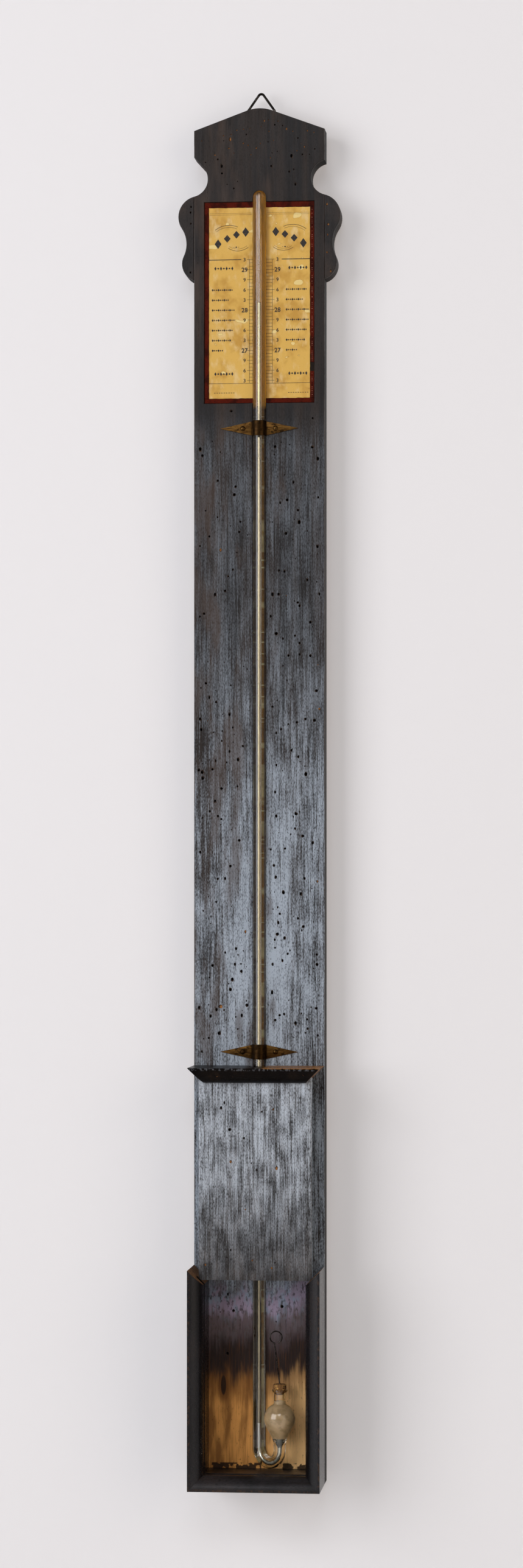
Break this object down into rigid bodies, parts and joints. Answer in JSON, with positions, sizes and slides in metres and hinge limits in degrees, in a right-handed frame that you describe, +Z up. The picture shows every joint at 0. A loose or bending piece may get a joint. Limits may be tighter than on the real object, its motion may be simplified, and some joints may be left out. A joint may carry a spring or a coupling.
{
  "type": "stick barometer",
  "caption": "Wall-hung siphon stick barometer: a shaped dark board with a paper scale, a bent mercury tube with a blown cistern bulb, and a mitred box with a sliding cover.",
  "frame": {"origin": "where the wall nail meets the wall, level with the point on which the wire bail bears", "axes": "+Z up along the tube, the scale faces -Y, +X to the right seen from the front; the board's back lies in Y = 0"},
  "size_m": [0.1094, 0.0525, 0.9351],
  "materials": {
    "board_wood": "ebonised softwood, brushed stain, wormholes",
    "ear_wood": "ebonised softwood",
    "box_wood": "ebonised moulding, polished, worn edges",
    "cover_wood": "ebonised panel, rubbed grey, wormholes",
    "scale_paper": "aged printed paper",
    "border_paper": "embossed red-brown paper strip, varnished",
    "glass": "blown clear glass",
    "mercury": "liquid mercury",
    "cork": "natural cork",
    "wire_iron": "dark oxidised iron wire",
    "clip_brass": "sheet brass, tarnished",
    "nail_brass": "round-headed brass nail",
    "strap_iron": "folded sheet brass, tarnished",
    "nail_iron": "iron nail"
  },
  "bodies": {
    "barometer": {"backboard": "board_wood", "left_ear": "ear_wood", "right_ear": "ear_wood", "scale_paper_left": "scale_paper", "scale_paper_right": "scale_paper", "border_top": "border_paper", "border_bottom": "border_paper", "border_left": "border_paper", "border_right_upper": "border_paper", "border_right_lower": "border_paper", "siphon_tube": "glass", "cistern_bulb": "glass", "mercury_cistern": "mercury", "upper_clip": "clip_brass", "lower_clip": "clip_brass", "upper_clip_nails": "nail_brass", "lower_clip_nails": "nail_brass", "box_side_left": "box_wood", "box_side_right": "box_wood", "box_bottom_rail": "box_wood", "hanger_strap": "strap_iron", "hanger_nails": "nail_iron"},
    "cover": {"cover_panel": "cover_wood", "cover_head": "box_wood"},
    "stopper": {"cork_stopper": "cork", "pull_wire": "wire_iron"},
    "bail": {"hanger_bail": "wire_iron"},
    "mercury": {"mercury_column": "mercury"}
  },
  "joints": [
    {"name": "cover_slide", "type": "slide", "parent": "barometer", "child": "cover", "axis": [0, 0, 1], "range_m": [-0.1337, 0.0038]},
    {"name": "stopper_pull", "type": "slide", "parent": "barometer", "child": "stopper", "axis": [0, 0, 1], "range_m": [0, 0.012]},
    {"name": "bail_swing", "type": "hinge", "parent": "barometer", "child": "bail", "pos_m": [0, -0.00165, -0.0134], "axis": [-1, 0, 0], "range_deg": [0, 150]},
    {"name": "mercury_level", "type": "slide", "parent": "barometer", "child": "mercury", "axis": [0, 0, 1], "range_m": [-0.052, 0.029], "stiffness_N_per_m": 0.24185, "springref_m": 0.6975, "deforming": ["mercury_column"]}
  ]
}
